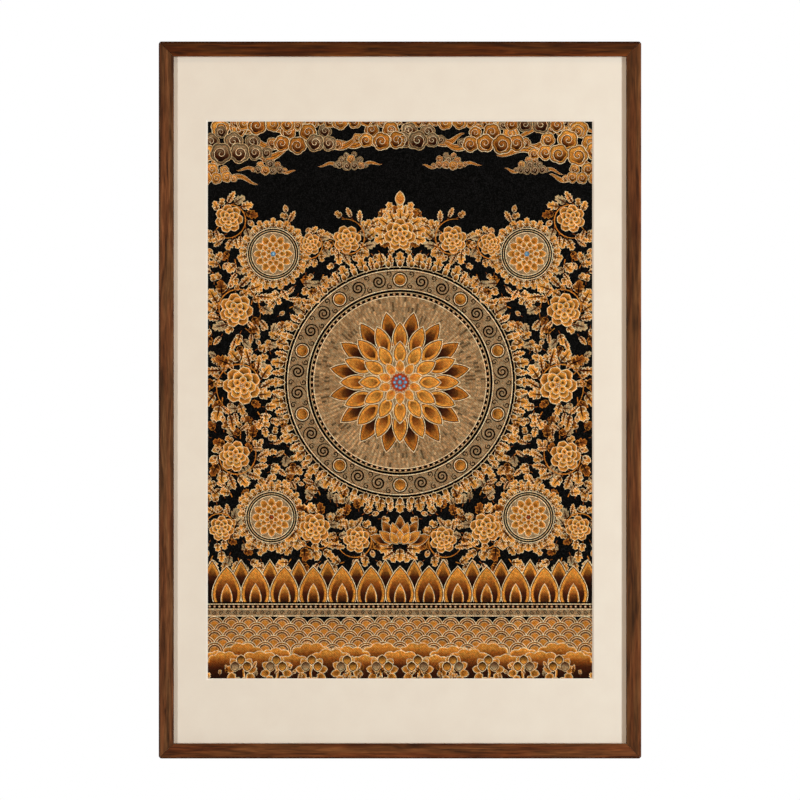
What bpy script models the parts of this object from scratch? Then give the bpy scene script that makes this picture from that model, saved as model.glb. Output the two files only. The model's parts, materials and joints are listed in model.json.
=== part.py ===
"""Framed thangka: a woven brocade cloth behind a window mat, in a rebated wooden frame that hangs on a wall.

The picture hangs upright. +X runs to its right, +Z runs up and the front faces -Y, with the wall at y = 0.
The origin is the middle of the top rail's back face. Lengths are in metres.
"""

import math

import bmesh
import bpy
from mathutils import Matrix, Vector

MM = 0.001

# Driving dimensions.
OUTER_WIDTH = 600.0 * MM
OUTER_HEIGHT = 891.6 * MM
FRAME_DEPTH = 25.0 * MM  # from the wall to the front of the rails
RAIL_FACE = 18.5 * MM  # the width of a rail seen from the front
REBATE = 8.0 * MM  # how far a rail's lip reaches over the mat
LIP = 5.7 * MM  # the wood in front of the rebate
CORNER_RADIUS = 3.5 * MM  # the sanded corners, seen from the front
OUTER_EDGE_RADIUS = 1.6 * MM  # the outer front edge
SIGHT_EDGE_RADIUS = 1.0 * MM  # the front edge beside the mat
BACK_EDGE_RADIUS = 0.6 * MM  # the outer back edge
MAT_THICKNESS = 2.0 * MM  # also the width of the window's 45 degree bevel
MAT_MARGIN_X = 42.25 * MM  # sight edge to the back of the bevel, left and right
MAT_MARGIN_Z = 80.55 * MM  # the same, top and bottom
CLOTH_THICKNESS = 1.0 * MM
CLOTH_LAP = 15.0 * MM  # how far the cloth runs on behind the mat
BACKING_THICKNESS = 3.0 * MM
GAP = 0.3 * MM  # between pieces that meet

# Derived places.
BACK_FACE = RAIL_FACE - REBATE  # the width of a rail's back face
TOP = BACK_FACE / 2
CENTRE = Vector((0, 0, TOP - OUTER_HEIGHT / 2))  # of the picture, on the wall
SIGHT = (OUTER_WIDTH - 2 * RAIL_FACE, OUTER_HEIGHT - 2 * RAIL_FACE)
RECESS = (SIGHT[0] + 2 * REBATE, SIGHT[1] + 2 * REBATE)
WINDOW = (SIGHT[0] - 2 * MAT_MARGIN_X, SIGHT[1] - 2 * MAT_MARGIN_Z)  # at the back of the bevel
FRONT_Y = -FRAME_DEPTH
SHOULDER_Y = FRONT_Y + LIP  # the rebate's shoulder, which the mat lies against
MAT_Y = SHOULDER_Y + GAP
CLOTH_Y = MAT_Y + MAT_THICKNESS + GAP
BACKING_Y = CLOTH_Y + CLOTH_THICKNESS + GAP

CORNER_SEGMENTS = 6
EDGE_SEGMENTS = 5
SHARP = math.radians(35)  # edges that turn more than this are sharp
PAST = 5 * MM  # how far a cutter runs past what it cuts

# Colour, roughness and metallic value of each material.
FINISHES = {
    "walnut": ((0.105, 0.045, 0.020), 0.42, 0.0),
    "mat_paper": ((0.80, 0.70, 0.58), 0.90, 0.0),
    "brocade": ((0.24, 0.12, 0.04), 0.55, 0.15),
    "fibreboard": ((0.20, 0.12, 0.065), 0.75, 0.0),
}

# Each rail has a mitre at both ends, written as the outer corner it starts from and the corner that the
# rail runs towards, with -1 or +1 for the corner's side in x and in z.
RAILS = {
    "frame_top": (((-1, 1), (1, 1)), ((1, 1), (-1, 1))),
    "frame_bottom": (((-1, -1), (1, -1)), ((1, -1), (-1, -1))),
    "frame_left": (((-1, 1), (-1, -1)), ((-1, -1), (-1, 1))),
    "frame_right": (((1, 1), (1, -1)), ((1, -1), (1, 1))),
}


def clear_scene():
    for obj in list(bpy.data.objects):
        bpy.data.objects.remove(obj, do_unlink=True)


def new_collection(name, hidden=False):
    collection = bpy.data.collections.new(name)
    bpy.context.scene.collection.children.link(collection)
    collection.hide_render = hidden
    return collection


def new_material(name):
    colour, roughness, metallic = FINISHES[name]
    material = bpy.data.materials.new(name)
    material.use_nodes = True
    shader = material.node_tree.nodes["Principled BSDF"]
    shader.inputs["Base Color"].default_value = (*colour, 1.0)
    shader.inputs["Roughness"].default_value = roughness
    shader.inputs["Metallic"].default_value = metallic
    material.diffuse_color = (*colour, 1.0)
    return material


def new_object(name, bm, collection, material=None):
    mesh = bpy.data.meshes.new(name)
    bm.to_mesh(mesh)
    bm.free()
    obj = bpy.data.objects.new(name, mesh)
    collection.objects.link(obj)
    if material:
        mesh.materials.append(material)
    return obj


def block(size, front_y, back_y):
    """A box of the given width and height about the picture's centre, between two depths."""
    bm = bmesh.new()
    place = Matrix.Translation(CENTRE + Vector((0, (front_y + back_y) / 2, 0)))
    stretch = Matrix.Diagonal((size[0], back_y - front_y, size[1], 1))
    bmesh.ops.create_cube(bm, size=1, matrix=place @ stretch)
    return bm


def cutter(name, bm, collection):
    obj = new_object(name, bm, collection)
    obj.hide_render = True
    obj.display_type = "WIRE"
    return obj


def cut_away(obj, tool):
    """Adds the Boolean modifier that takes the tool's shape out of the object."""
    boolean = obj.modifiers.new(tool.name, "BOOLEAN")
    boolean.operation = "DIFFERENCE"
    boolean.solver = "EXACT"
    boolean.object = tool


def bevel(bm, edges, radius, segments):
    bmesh.ops.bevel(
        bm, geom=edges, offset=radius, offset_type="OFFSET", segments=segments, profile=0.5, affect="EDGES"
    )


def round_edges(bm, wanted, radius, segments):
    """Bevels the sharp edges whose two ends both pass the test."""
    sharp = [e for e in bm.edges if e.calc_face_angle(0) > SHARP]
    bevel(bm, [e for e in sharp if all(wanted(v.co) for v in e.verts)], radius, segments)


def near(a, b):
    return abs(a - b) < 0.01 * MM


def frame_ring(cutters):
    """The four rails as one ring, before it is sawn at the mitres."""
    bm = block((OUTER_WIDTH, OUTER_HEIGHT), FRONT_Y, 0)
    corners = [e for e in bm.edges if not near(e.verts[0].co.y, e.verts[1].co.y)]
    bevel(bm, corners, CORNER_RADIUS, CORNER_SEGMENTS)
    round_edges(bm, lambda p: near(p.y, FRONT_Y), OUTER_EDGE_RADIUS, EDGE_SEGMENTS)
    round_edges(bm, lambda p: near(p.y, 0), BACK_EDGE_RADIUS, 1)
    ring = new_object("frame_ring", bm, cutters)
    cut_away(ring, cutter("sight_opening", block(SIGHT, FRONT_Y - PAST, PAST), cutters))
    cut_away(ring, cutter("recess", block(RECESS, SHOULDER_Y, PAST), cutters))
    cut = bpy.data.meshes.new_from_object(ring.evaluated_get(bpy.context.evaluated_depsgraph_get()))
    bpy.data.objects.remove(ring, do_unlink=True)

    bm = bmesh.new()
    bm.from_mesh(cut)
    bpy.data.meshes.remove(cut)

    def beside_mat(point):
        x, z = abs(point.x - CENTRE.x), abs(point.z - CENTRE.z)
        return near(point.y, FRONT_Y) and x < SIGHT[0] / 2 + 0.01 * MM and z < SIGHT[1] / 2 + 0.01 * MM

    round_edges(bm, beside_mat, SIGHT_EDGE_RADIUS, EDGE_SEGMENTS)
    return bm


def saw_mitre(bm, corner, towards):
    """Cuts through one outer corner at 45 degrees and keeps the side of the other corner."""
    point = CENTRE + Vector((corner[0] * OUTER_WIDTH / 2, 0, corner[1] * OUTER_HEIGHT / 2))
    along = Vector((towards[0] - corner[0], 0, towards[1] - corner[1])).normalized()
    outward = Vector((corner[0], 0, corner[1]))
    outward -= along * outward.dot(along)  # square to the rail, away from the picture
    normal = (along + outward.normalized()).normalized()
    kept = bmesh.ops.bisect_plane(
        bm,
        geom=bm.verts[:] + bm.edges[:] + bm.faces[:],
        dist=0.001 * MM,
        plane_co=point + normal * GAP / 2,
        plane_no=normal,
        clear_inner=True,
    )
    rim = [item for item in kept["geom_cut"] if isinstance(item, bmesh.types.BMEdge)]
    bmesh.ops.holes_fill(bm, edges=rim, sides=0)


def make_rails(ring, collection, material):
    for name, mitres in RAILS.items():
        bm = ring.copy()
        for corner, towards in mitres:
            saw_mitre(bm, corner, towards)
        bmesh.ops.recalc_face_normals(bm, faces=bm.faces[:])
        rail = new_object(name, bm, collection, material)
        rail.data.shade_smooth()
        rail.data.set_sharp_from_angle(angle=SHARP)
    ring.free()


def make_mat(collection, cutters, material):
    """The window mat. Its 45 degree bevel faces the viewer, so the window is smaller at the back."""
    size = (RECESS[0] - 2 * GAP, RECESS[1] - 2 * GAP)
    mat = new_object("mat_board", block(size, MAT_Y, MAT_Y + MAT_THICKNESS), collection, material)
    bm = block(WINDOW, MAT_Y - PAST, MAT_Y + MAT_THICKNESS + PAST)
    for vert in bm.verts:
        spread = MAT_THICKNESS + PAST if vert.co.y < MAT_Y else -PAST
        vert.co.x += math.copysign(spread, vert.co.x - CENTRE.x)
        vert.co.z += math.copysign(spread, vert.co.z - CENTRE.z)
    cut_away(mat, cutter("mat_window", bm, cutters))


def make_cloth(collection, material):
    size = (WINDOW[0] + 2 * CLOTH_LAP, WINDOW[1] + 2 * CLOTH_LAP)
    new_object("thangka_cloth", block(size, CLOTH_Y, CLOTH_Y + CLOTH_THICKNESS), collection, material)


def make_backing(collection, material):
    size = (RECESS[0] - 2 * GAP, RECESS[1] - 2 * GAP)
    new_object("backing_board", block(size, BACKING_Y, BACKING_Y + BACKING_THICKNESS), collection, material)


def main():
    clear_scene()
    picture = new_collection("framed_thangka")
    cutters = new_collection("cutters", hidden=True)
    make_rails(frame_ring(cutters), picture, new_material("walnut"))
    make_mat(picture, cutters, new_material("mat_paper"))
    make_cloth(picture, new_material("brocade"))
    make_backing(picture, new_material("fibreboard"))


main()
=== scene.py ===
import json
import math
import random

import bmesh
import bpy
import numpy as np
from mathutils import Matrix, Vector


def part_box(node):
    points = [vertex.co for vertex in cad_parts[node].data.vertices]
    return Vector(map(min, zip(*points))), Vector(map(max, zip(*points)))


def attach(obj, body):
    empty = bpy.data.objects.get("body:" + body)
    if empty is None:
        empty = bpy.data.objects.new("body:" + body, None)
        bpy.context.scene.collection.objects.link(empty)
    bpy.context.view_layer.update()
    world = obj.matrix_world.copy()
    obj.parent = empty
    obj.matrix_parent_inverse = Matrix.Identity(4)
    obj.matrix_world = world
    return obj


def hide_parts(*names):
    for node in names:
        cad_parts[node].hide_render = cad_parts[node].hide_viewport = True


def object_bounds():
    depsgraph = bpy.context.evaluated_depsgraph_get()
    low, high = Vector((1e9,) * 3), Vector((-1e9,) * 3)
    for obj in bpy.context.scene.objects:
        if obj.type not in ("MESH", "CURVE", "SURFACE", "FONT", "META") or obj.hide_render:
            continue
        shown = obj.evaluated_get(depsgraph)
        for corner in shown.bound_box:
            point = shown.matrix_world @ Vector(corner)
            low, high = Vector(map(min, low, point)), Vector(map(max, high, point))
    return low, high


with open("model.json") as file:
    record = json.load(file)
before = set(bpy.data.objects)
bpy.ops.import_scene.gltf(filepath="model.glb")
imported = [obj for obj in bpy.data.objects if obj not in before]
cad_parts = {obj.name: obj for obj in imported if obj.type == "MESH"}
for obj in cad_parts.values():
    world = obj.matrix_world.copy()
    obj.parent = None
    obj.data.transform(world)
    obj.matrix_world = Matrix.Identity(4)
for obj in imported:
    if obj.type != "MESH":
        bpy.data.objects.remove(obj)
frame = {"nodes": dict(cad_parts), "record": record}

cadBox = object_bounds()
mm = 0.001

# Places on the frame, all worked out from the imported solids.
frameLow, frameHigh = cadBox
leftLow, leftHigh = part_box("frame_left")
matLow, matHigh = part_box("mat_board")
clothLow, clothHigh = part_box("thangka_cloth")
openLow, openHigh = (Vector(p) for p in frame["record"]["physics"]["openings"][0]["box_m"])
centreZ = (frameLow.z + frameHigh.z) / 2
railFace = leftHigh.x - leftLow.x
clearance = clothLow.y - openHigh.y  # the opening's box stops about this far from the cloth and the mat
windowHalf = Vector((openHigh.x + clearance, (openHigh.z - openLow.z) / 2 + clearance))


def linear(rgb):
    # 0..255 screen colour to linear
    return tuple((c / 255 / 12.92) if c <= 10 else ((c / 255 + 0.055) / 1.055) ** 2.4 for c in rgb)


def blockBetween(low, high):
    bm = bmesh.new()
    stretch = Matrix.Diagonal((*(high - low), 1))
    bmesh.ops.create_cube(bm, size=1, matrix=Matrix.Translation((low + high) / 2) @ stretch)
    return bm


def roundEdges(bm, edges, radius):
    bmesh.ops.bevel(bm, geom=edges, offset=radius, offset_type="OFFSET", segments=2, profile=0.5,
                    affect="EDGES", material=-1)


def finishMesh(bm, name, materials, sharpAt=None):
    # with an angle in degrees, only the edges that turn further are left sharp
    mesh = bpy.data.meshes.new(name)
    bm.to_mesh(mesh)
    bm.free()
    for material in materials:
        mesh.materials.append(material)
    obj = bpy.data.objects.new(name, mesh)
    bpy.context.scene.collection.objects.link(obj)
    if sharpAt:
        mesh.shade_smooth()
        mesh.set_sharp_from_angle(angle=math.radians(sharpAt))
        # keeps flat faces flat beside rounded edges
        obj.modifiers.new("faceWeights", "WEIGHTED_NORMAL").keep_sharp = True
    return obj


class Nodes:
    # a few lines that keep node trees short to write

    def __init__(self, name):
        self.material = bpy.data.materials.new(name)
        self.material.use_nodes = True
        self.tree = self.material.node_tree
        self.shader = self.tree.nodes["Principled BSDF"]

    def add(self, kind, inputs=None, **settings):
        node = self.tree.nodes.new(kind)
        for key, value in settings.items():
            setattr(node, key, value)
        for key, value in (inputs or {}).items():
            self.feed(node.inputs[key], value)
        return node

    def feed(self, socket, value):
        if isinstance(value, bpy.types.NodeSocket):
            self.tree.links.new(value, socket)
        else:
            socket.default_value = value

    def place(self):
        return self.add("ShaderNodeTexCoord").outputs["Object"]

    def noise(self, vector, scale, detail=3.0, roughness=0.5, distortion=0.0):
        values = {"Vector": vector, "Scale": scale, "Detail": detail, "Roughness": roughness,
                  "Distortion": distortion}
        return self.add("ShaderNodeTexNoise", values).outputs["Fac"]

    def wave(self, vector, pitch, way):
        # soft ridges this far apart, or 1.4 times that on the DIAGONAL way
        values = {"Vector": vector, "Scale": math.tau / 20 / pitch, "Distortion": 0.5, "Detail": 1.0}
        return self.add("ShaderNodeTexWave", values, bands_direction=way).outputs["Fac"]

    def scaled(self, value, factor, lift=0.0):
        # value times factor, plus lift
        node = self.add("ShaderNodeMath", operation="MULTIPLY_ADD")
        for socket, part in zip(node.inputs, (value, factor, lift)):
            self.feed(socket, part)
        return node.outputs[0]

    def mapped(self, value, start, end, low, high):
        values = {"Value": value, "From Min": start, "From Max": end, "To Min": low, "To Max": high}
        return self.add("ShaderNodeMapRange", values).outputs[0]

    def ramp(self, fac, stops):
        # each stop is a place with a grey or a colour
        node = self.add("ShaderNodeValToRGB", {"Fac": fac})
        elements = node.color_ramp.elements
        while len(elements) < len(stops):
            elements.new(0.5)
        for element, (position, value) in zip(elements, stops):
            element.position = position
            element.color = (*value, 1) if isinstance(value, tuple) else (value, value, value, 1)
        return node.outputs["Color"]

    def multiply(self, a, b, share=1.0):
        # colour a times colour b, or just a share of the way there
        node = self.add("ShaderNodeMix", data_type="RGBA", blend_type="MULTIPLY")
        for index, value in ((0, share), (6, a), (7, b)):
            self.feed(node.inputs[index], (*value, 1) if isinstance(value, tuple) else value)
        return node.outputs[2]

    def grey(self, level):
        return self.add("ShaderNodeCombineColor", {0: level, 1: level, 2: level}).outputs[0]

    def bump(self, height, strength, distance):
        values = {"Height": height, "Strength": strength, "Distance": distance}
        return self.add("ShaderNodeBump", values).outputs["Normal"]

    def finish(self, colour, roughness, normal=None, gloss=0.5):
        self.feed(self.shader.inputs["Base Color"], colour)
        self.feed(self.shader.inputs["Roughness"], roughness)
        if normal:
            self.feed(self.shader.inputs["Normal"], normal)
        self.shader.inputs["Specular IOR Level"].default_value = gloss
        return self.material


# Camera, lights and floor.
studio = {
    "cameraAway": 4.0,
    "photoPixels": 800,
    "framePixels": 482.7,  # the frame's width in the photograph
    "lightAway": 2.4,
    "stripHeight": 2.0,
    "stripRise": 0.05,  # the strips' middles are this far above the picture's
    "left": {"angle": 43.6, "width": 0.22, "power": 28.0, "tint": (0.86, 0.94, 1.0)},
    "right": {"angle": 40.3, "width": 0.36, "power": 55.0, "tint": (0.78, 0.90, 1.0)},
    "fill": {"offset": (0, -2.3, -0.1), "size": (0.6, 0.6), "power": 10.5, "tint": (1.0, 0.66, 0.38)},
    "overhead": {"offset": (0, -1.2, 2.0), "size": (2.0, 0.5), "power": 7.8, "tint": (1.0, 0.82, 0.62)},
    "back": {"offset": (0.5, 2.4, 0.7), "size": (1.2, 1.2), "power": 26.0, "tint": (1.0, 0.95, 0.88)},
    "ambient": 0.03,
    "floorBelow": 1.5,  # under the frame's bottom edge
    "floorHalf": 1.4,
    "floorTones": ((0.80, 0.79, 0.78), (0.84, 0.83, 0.82)),
}


def addCamera():
    data = bpy.data.cameras.new("camera")
    data.sensor_width = 36
    across = (frameHigh.x - frameLow.x) * studio["photoPixels"] / studio["framePixels"]
    data.lens = data.sensor_width * studio["cameraAway"] / across
    camera = bpy.data.objects.new("camera", data)
    camera.location = (0, frameLow.y - studio["cameraAway"], centreZ)
    camera.rotation_euler = (math.radians(90), 0, 0)
    bpy.context.scene.collection.objects.link(camera)
    bpy.context.scene.camera = camera


def addArea(name, offset, size, look):
    data = bpy.data.lights.new(name, "AREA")
    data.shape = "RECTANGLE"
    data.size, data.size_y = size
    data.energy = look["power"]
    data.color = look["tint"]
    light = bpy.data.objects.new(name, data)
    light.location = Vector((0, frameLow.y, centreZ)) + offset
    light.rotation_euler = (-offset).to_track_quat("-Z", "Y").to_euler()
    bpy.context.scene.collection.objects.link(light)


def addStrip(name, side, look):
    # a tall strip makes the rails' side shadows on the mat crisp; its angle is off the picture's face
    angle = math.radians(look["angle"])
    offset = Vector((side * math.cos(angle), -math.sin(angle), 0)) * studio["lightAway"]
    offset.z = studio["stripRise"]
    addArea(name, offset, (look["width"], studio["stripHeight"]), look)


def addWorld():
    # white to the camera, dimmer as light, so the cut-out background stays white
    world = bpy.data.worlds.new("studioWorld")
    bpy.context.scene.world = world
    world.use_nodes = True
    tree = world.node_tree
    background = tree.nodes["Background"]
    background.inputs["Color"].default_value = (1, 1, 1, 1)
    path = tree.nodes.new("ShaderNodeLightPath")
    level = tree.nodes.new("ShaderNodeMapRange")
    level.inputs["To Min"].default_value = studio["ambient"]
    level.inputs["To Max"].default_value = 1.0
    tree.links.new(path.outputs["Is Camera Ray"], level.inputs["Value"])
    tree.links.new(level.outputs["Result"], background.inputs["Strength"])


def addFloor():
    nodes = Nodes("paleFloor")
    low, high = studio["floorTones"]
    nodes.finish(nodes.ramp(nodes.noise(nodes.place(), 3.0), [(0.3, low), (0.7, high)]), 0.6)
    bm = bmesh.new()
    level = Matrix.Translation((0, 0, frameLow.z - studio["floorBelow"]))
    bmesh.ops.create_grid(bm, x_segments=1, y_segments=1, size=studio["floorHalf"], matrix=level)
    finishMesh(bm, "floor", [nodes.material])


addCamera()
addStrip("stripLeft", -1, studio["left"])
addStrip("stripRight", 1, studio["right"])
for name in ("fill", "overhead", "back"):
    addArea(name + "Light", Vector(studio[name]["offset"]), studio[name]["size"], studio[name])
addWorld()
addFloor()
bpy.context.scene.view_settings.view_transform = "Standard"
print("camera, lights and floor ready")


# Walnut rails. The outer tone at a rail's outer edge is painted shade on the top, bottom and left rails and
# a painted highlight on the right rail; it fades out at its reach, in mm. The inner tone beside the mat is a
# painted highlight on the top rail and painted shade on the others. Each rail's tint is painted light and
# shade. The offset, in metres, gives each rail its own stretch of grain.
rails = {
    "frame_top": {"along": (1, 0, 0), "tint": (0.62, 0.5, 0.32), "outer": 0.6, "reach": 4, "inner": 1.75,
                  "offset": 1.3},
    "frame_bottom": {"along": (1, 0, 0), "tint": (1.16, 1.07, 1.03), "outer": 0.3, "reach": 3, "inner": 0.75,
                     "offset": 7.9},
    "frame_left": {"along": (0, 0, 1), "tint": (1.1, 1.25, 1.45), "outer": 0.6, "reach": 4, "inner": 0.8,
                   "offset": 3.1},
    "frame_right": {"along": (0, 0, 1), "tint": (0.83, 0.865, 0.87), "outer": 2.0, "reach": 5, "inner": 0.85,
                    "offset": 5.2},
}
walnut = {
    "dark": linear((58, 31, 14)),
    "mid": linear((95, 53, 26)),
    "light": linear((128, 76, 41)),
    "figure": (13, 150),  # how close the grain is along and across the rail, per metre
    "streaks": (28, 460),
    "pores": (45, 1500),
    "redness": (11, 130),
    "edgeWidth": 0.9 * mm,  # the outer tone is full this far in
    "innerWidth": 5 * mm,  # the inner tone comes in this far from the mat
    "poreDepth": 0.12 * mm,
    "gloss": 0.08,
}
railPaintedTones = {"railOuterPaintedLight": "outer", "railReach": "reach", "railInnerPaintedLight": "inner"}


def walnutMaterial():
    # grain runs along the rail: grainPlace holds the way along it, in from its outer edge, and in depth;
    # near each rail's two edges painted shade darkens the wood, or a painted highlight lightens it
    nodes = Nodes("walnutWood")
    place = nodes.add("ShaderNodeAttribute", attribute_name="grainPlace").outputs["Vector"]
    tint = nodes.add("ShaderNodeAttribute", attribute_name="railPaintedLight").outputs["Vector"]
    outer, reach, inner = (nodes.add("ShaderNodeAttribute", attribute_name=name).outputs["Fac"]
                           for name in railPaintedTones)

    def grain(name, detail, roughness, distortion=0.0):
        along, across = walnut[name]
        stretched = nodes.add("ShaderNodeMapping", {"Vector": place, "Scale": (along, across, across)})
        return nodes.noise(stretched.outputs[0], 1.0, detail, roughness, distortion)

    figure = grain("figure", 3.0, 0.55, 1.0)
    streaks = grain("streaks", 4.0, 0.65, 0.3)
    pores = grain("pores", 2.0, 0.6)
    blend = nodes.scaled(figure, 0.6, nodes.scaled(streaks, 0.5))
    wood = nodes.ramp(blend, [(0.4, walnut["dark"]), (0.54, walnut["mid"]), (0.71, walnut["light"])])
    wood = nodes.multiply(wood, nodes.ramp(pores, [(0.34, 0.7), (0.48, 1.0)]))
    redness = nodes.ramp(grain("redness", 1.0, 0.5), [(0.4, (1.0, 0.87, 0.82)), (0.6, (0.93, 1.0, 1.0))])
    wood = nodes.multiply(wood, redness)
    inward = nodes.add("ShaderNodeSeparateXYZ", {"Vector": place}).outputs["Y"]
    # painted shade at the outer edge, or a painted highlight on the right rail
    paintedOuterLight = nodes.mapped(inward, walnut["edgeWidth"], nodes.scaled(reach, mm), outer, 1.0)
    # a painted highlight beside the mat on the top rail, painted shade on the others
    rise = nodes.mapped(inward, railFace - walnut["innerWidth"], railFace, 1.0, inner)
    wood = nodes.multiply(wood, nodes.grey(nodes.scaled(paintedOuterLight, rise)))
    # each rail's tint is painted light and shade: the top rail darker and redder, the side rails paler or
    # darker
    wood = nodes.multiply(wood, tint)
    height = nodes.scaled(pores, 0.6, streaks)
    rough = nodes.scaled(streaks, -0.14, 0.56)
    return nodes.finish(wood, rough, nodes.bump(height, 0.5, walnut["poreDepth"]), walnut["gloss"])


def railPiece(node, look, material):
    # a welded copy of the solid, so that its rounded edges can be shaded smooth
    bm = bmesh.new()
    bm.from_mesh(frame["nodes"][node].data)
    bmesh.ops.remove_doubles(bm, verts=bm.verts[:], dist=0.001 * mm)
    bmesh.ops.dissolve_limit(bm, angle_limit=math.radians(1), verts=bm.verts[:], edges=bm.edges[:])
    bmesh.ops.triangulate(bm, faces=[f for f in bm.faces if len(f.verts) > 4])
    piece = finishMesh(bm, node.replace("frame_", "rail_"), [material], sharpAt=30)
    along = Vector(look["along"])
    across = Vector((along.z, 0, along.x))
    points = [v.co - Vector((0, 0, centreZ)) for v in piece.data.vertices]
    outer = max(abs(p.dot(across)) for p in points)
    grain = [(p.dot(along) + look["offset"], outer - abs(p.dot(across)), p.y) for p in points]
    # the tint attribute carries each rail's painted light and shade
    for name, values in (("grainPlace", grain), ("railPaintedLight", [look["tint"]] * len(points))):
        piece.data.attributes.new(name, "FLOAT_VECTOR", "POINT").data.foreach_set("vector", np.ravel(values))
    # the painted shade and highlights at each rail's edges
    for name, key in railPaintedTones.items():
        values = [look[key]] * len(points)
        piece.data.attributes.new(name, "FLOAT", "POINT").data.foreach_set("value", values)
    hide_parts(node)
    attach(piece, "root")


walnutWood = walnutMaterial()
for node, look in rails.items():
    railPiece(node, look, walnutWood)
print("rails ready")


# Window mat: a paper face on a paler core, which shows at the cut edges.
mat = {
    "face": linear((235, 220, 200)),
    "faceShade": linear((232, 216, 196)),
    "core": linear((247, 234, 216)),
    "cloudScale": 38.0,
    "fibreScale": 900.0,
    "coreScale": 1400.0,
    "fibreDepth": 0.05 * mm,
    "coreDepth": 0.03 * mm,
    "cutRadius": 0.12 * mm,
    "inset": 10 * mm,  # makes the inner corners, which then go to the window's
}


def matMaterials():
    face = Nodes("matPaper")
    at = face.place()
    cloud = face.noise(at, mat["cloudScale"])
    fibre = face.noise(at, mat["fibreScale"], 2.0, 0.6)
    tone = face.ramp(cloud, [(0.3, mat["faceShade"]), (0.7, mat["face"])])
    tone = face.multiply(tone, face.ramp(fibre, [(0.3, 0.6), (0.7, 1.0)]), 0.06)
    face.finish(tone, 0.92, face.bump(fibre, 0.25, mat["fibreDepth"]), 0.15)
    core = Nodes("matCore")
    grain = core.noise(core.place(), mat["coreScale"], 2.0)
    tone = core.multiply(mat["core"], core.ramp(grain, [(0.3, 0.7), (0.7, 1.0)]), 0.08)
    core.finish(tone, 0.9, core.bump(grain, 0.2, mat["coreDepth"]), 0.2)
    return [face.material, core.material]


def matPiece():
    bm = blockBetween(matLow, matHigh)
    front = next(f for f in bm.faces if f.normal.y < -0.5)
    back = next(f for f in bm.faces if f.normal.y > 0.5)
    for face, bevel in ((front, (matHigh - matLow).y), (back, 0)):
        bmesh.ops.inset_region(bm, faces=[face], thickness=mat["inset"], use_even_offset=True)
        for vert in face.verts:
            vert.co.x = math.copysign(windowHalf.x + bevel, vert.co.x)
            vert.co.z = centreZ + math.copysign(windowHalf.y + bevel, vert.co.z - centreZ)
    rims = front.edges[:] + back.edges[:]
    bmesh.ops.delete(bm, geom=[front, back], context="FACES_ONLY")
    wall = bmesh.ops.bridge_loops(bm, edges=rims)["faces"]
    outer = [f for f in bm.faces if max(abs(f.normal.x), abs(f.normal.z)) > 0.9]
    for face in wall + outer:
        face.material_index = 1
    roundEdges(bm, [e for e in bm.edges if e.calc_face_angle(0) > 0.5], mat["cutRadius"])
    bmesh.ops.recalc_face_normals(bm, faces=bm.faces[:])
    piece = finishMesh(bm, "windowMat", matMaterials(), sharpAt=30)
    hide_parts("mat_board")
    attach(piece, "root")


matPiece()
print("window mat ready")


# The backing board keeps its solid.
board = {
    "dark": linear((112, 82, 56)),
    "light": linear((134, 102, 72)),
    "mottleScale": 40.0,
    "fibreScale": 700.0,
    "fibreDepth": 0.06 * mm,
}


def backingMaterial():
    nodes = Nodes("fibreBoard")
    at = nodes.place()
    mottle = nodes.noise(at, board["mottleScale"], 4.0, 0.65)
    fibre = nodes.noise(at, board["fibreScale"], 2.0, 0.6, 0.8)
    tone = nodes.ramp(mottle, [(0.3, board["dark"]), (0.7, board["light"])])
    tone = nodes.multiply(tone, nodes.ramp(fibre, [(0.35, 0.55), (0.6, 1.0)]), 0.35)
    return nodes.finish(tone, 0.78, nodes.bump(fibre, 0.4, board["fibreDepth"]), 0.3)


frame["nodes"]["backing_board"].material_slots[0].material = backingMaterial()
print("backing board ready")


# The woven ground, which shows black between the motifs.
ground = {
    "warpPitch": 0.6 * mm,
    "twillPitch": 1.1 * mm,
    "black": linear((2, 2, 1)),
    "blackLight": linear((27, 25, 24)),
    "speckScale": 760.0,
    "ribDepth": 0.08 * mm,
    "edgeRadius": 0.25 * mm,
}


def groundMaterial():
    nodes = Nodes("blackGround")
    at = nodes.place()
    specks = nodes.noise(at, ground["speckScale"], 2.0, 0.6)
    tone = nodes.ramp(specks, [(0.49, ground["black"]), (0.66, ground["blackLight"])])
    warp = nodes.wave(at, ground["warpPitch"], "X")
    twill = nodes.wave(at, ground["twillPitch"], "DIAGONAL")
    height = nodes.scaled(warp, nodes.scaled(twill, 0.6, 0.4))
    tone = nodes.multiply(tone, nodes.grey(nodes.scaled(height, 1.6, 0.44)))
    return nodes.finish(tone, 0.85, nodes.bump(height, 0.4, ground["ribDepth"]), 0.03)


def groundPiece():
    bm = blockBetween(clothLow, clothHigh)
    roundEdges(bm, bm.edges[:], ground["edgeRadius"])
    return finishMesh(bm, "wovenGround", [groundMaterial()], sharpAt=60)


cloth = groundPiece()
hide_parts("thangka_cloth")
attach(cloth, "root")
print("woven ground ready")


# The brocade's motifs are drawn in millimetres: u to the right and v up, from the picture's centre.
threads = {
    "pale": (222, 197, 157), "sand": (184, 156, 114), "taupe": (142, 115, 83), "ray": (162, 128, 90),
    "ochre": (216, 144, 58), "gold": (184, 115, 42), "brown": (134, 72, 24), "umber": (66, 29, 10),
    "black": (12, 5, 3), "rust": (160, 60, 28), "blue": (36, 98, 140), "sky": (150, 188, 208),
}
weave = {
    "layer": 0.018,  # from one layer of threads to the next
    "thick": 0.08,
    "wall": 0.05,  # how far a shape's edge slopes
    "stagger": 0.0008,  # neighbours in a layer differ by this, so that no two faces share a plane
    "staggers": 8,
    "selvedge": 0.4,  # bare cloth along its edge
    "weftPitch": 0.55,  # from thread to thread
    "twillPitch": 1.5,
    "grainScale": 620.0,  # noise, per metre
    "hueScale": 430.0,
    "cloudScale": 60.0,
    "weftDepth": 0.06,
}
tones = {name: np.array(linear(rgb)) for name, rgb in threads.items()}


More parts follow.
